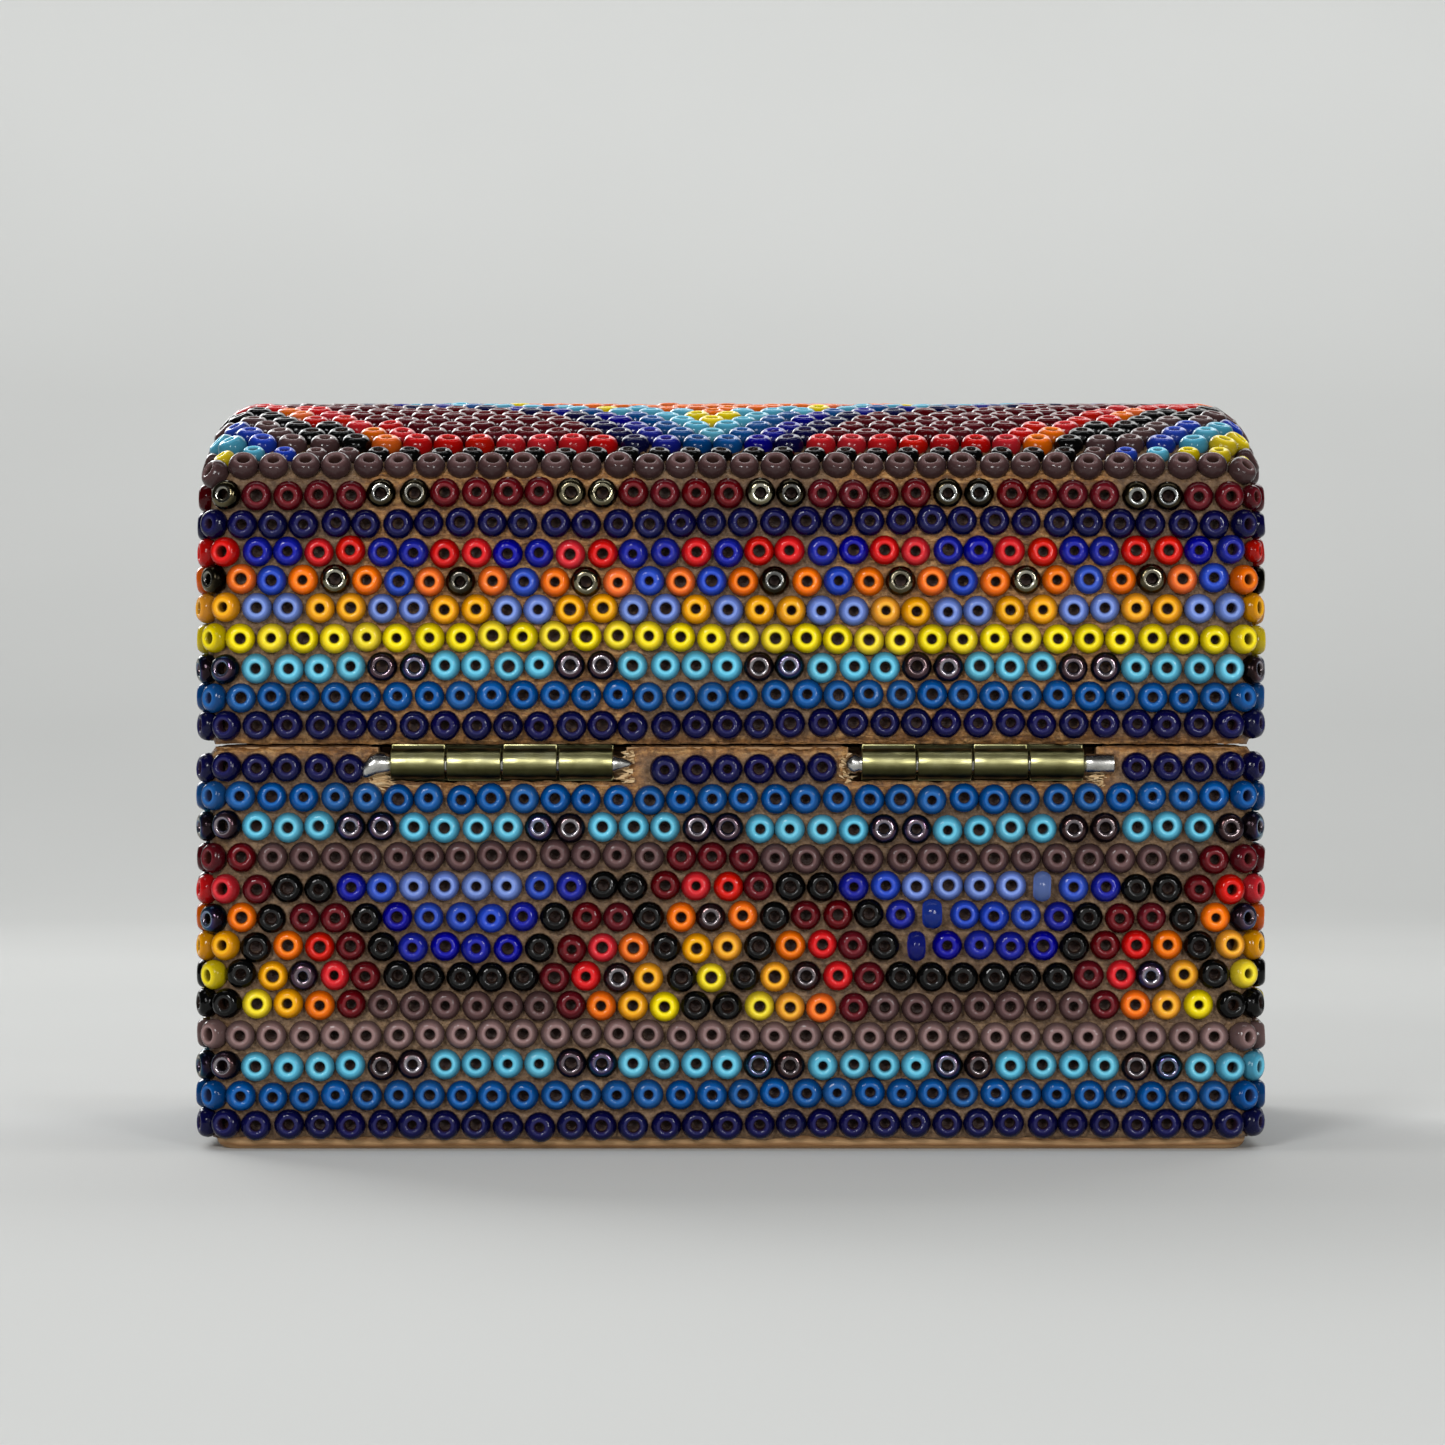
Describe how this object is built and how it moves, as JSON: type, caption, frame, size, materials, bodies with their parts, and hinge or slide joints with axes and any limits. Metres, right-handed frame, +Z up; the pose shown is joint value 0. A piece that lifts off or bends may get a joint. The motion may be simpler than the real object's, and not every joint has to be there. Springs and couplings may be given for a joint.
{
  "type": "beaded hinged box",
  "caption": "Small hinged wooden box with a crowned lid, covered in rows of coloured glass seed beads set in wax.",
  "frame": {"origin": "centre of the box's flat underside", "axes": "+Z up, +Y towards the hinged back, +X along the length, to the left when seen from behind"},
  "size_m": [0.076, 0.0517, 0.0543],
  "materials": {
    "wood": "pale bare softwood, waxed at the edges",
    "beads_amber": "glossy opaque amber glass seed beads",
    "beads_black": "glossy opaque black glass seed beads",
    "beads_cobalt": "glossy opaque cobalt blue glass seed beads",
    "beads_iris": "dark iris-coated glass seed beads with purple and blue sheen",
    "beads_light_blue": "glossy opaque turquoise blue glass seed beads",
    "beads_maroon": "glossy opaque maroon glass seed beads",
    "beads_mauve": "glossy opaque brown mauve glass seed beads",
    "beads_mid_blue": "glossy opaque mid blue glass seed beads",
    "beads_navy": "glossy opaque navy glass seed beads",
    "beads_orange": "glossy opaque orange glass seed beads",
    "beads_pale_mauve": "glossy opaque pale mauve glass seed beads",
    "beads_periwinkle": "glossy opaque periwinkle blue glass seed beads",
    "beads_red": "glossy opaque red glass seed beads",
    "beads_royal": "glossy opaque royal blue glass seed beads",
    "beads_yellow": "glossy opaque yellow glass seed beads",
    "brass": "thin brass plate, slightly dulled",
    "wax": "tan beeswax and resin, slightly waxy",
    "steel": "plain steel wire",
    "beads_metallic": "dark bronze metallic-coated glass seed beads"
  },
  "bodies": {
    "base": {"base_back_wall": "wood", "base_beads_amber": "beads_amber", "base_beads_black": "beads_black", "base_beads_cobalt": "beads_cobalt", "base_beads_iris": "beads_iris", "base_beads_light_blue": "beads_light_blue", "base_beads_maroon": "beads_maroon", "base_beads_mauve": "beads_mauve", "base_beads_mid_blue": "beads_mid_blue", "base_beads_navy": "beads_navy", "base_beads_orange": "beads_orange", "base_beads_pale_mauve": "beads_pale_mauve", "base_beads_periwinkle": "beads_periwinkle", "base_beads_red": "beads_red", "base_beads_royal": "beads_royal", "base_beads_yellow": "beads_yellow", "base_bottom_panel": "wood", "base_front_wall": "wood", "base_hinge_nails": "brass", "base_left_wall": "wood", "base_right_wall": "wood", "base_wax_coat": "wax", "left_hinge_base_leaf": "brass", "left_hinge_pin": "steel", "right_hinge_base_leaf": "brass", "right_hinge_pin": "steel"},
    "lid": {"left_hinge_lid_leaf": "brass", "lid_back_rail": "wood", "lid_beads_amber": "beads_amber", "lid_beads_black": "beads_black", "lid_beads_cobalt": "beads_cobalt", "lid_beads_iris": "beads_iris", "lid_beads_light_blue": "beads_light_blue", "lid_beads_maroon": "beads_maroon", "lid_beads_mauve": "beads_mauve", "lid_beads_metallic": "beads_metallic", "lid_beads_mid_blue": "beads_mid_blue", "lid_beads_navy": "beads_navy", "lid_beads_orange": "beads_orange", "lid_beads_periwinkle": "beads_periwinkle", "lid_beads_red": "beads_red", "lid_beads_royal": "beads_royal", "lid_beads_yellow": "beads_yellow", "lid_front_rail": "wood", "lid_hinge_nails": "brass", "lid_left_rail": "wood", "lid_right_rail": "wood", "lid_top_panel": "wood", "lid_wax_coat": "wax", "right_hinge_lid_leaf": "brass"}
  },
  "joints": [
    {"name": "lid_hinge", "type": "hinge", "parent": "base", "child": "lid", "pos_m": [0, 0.0246, 0.02735], "axis": [-1, 0, 0], "range_deg": [0, 110]}
  ]
}
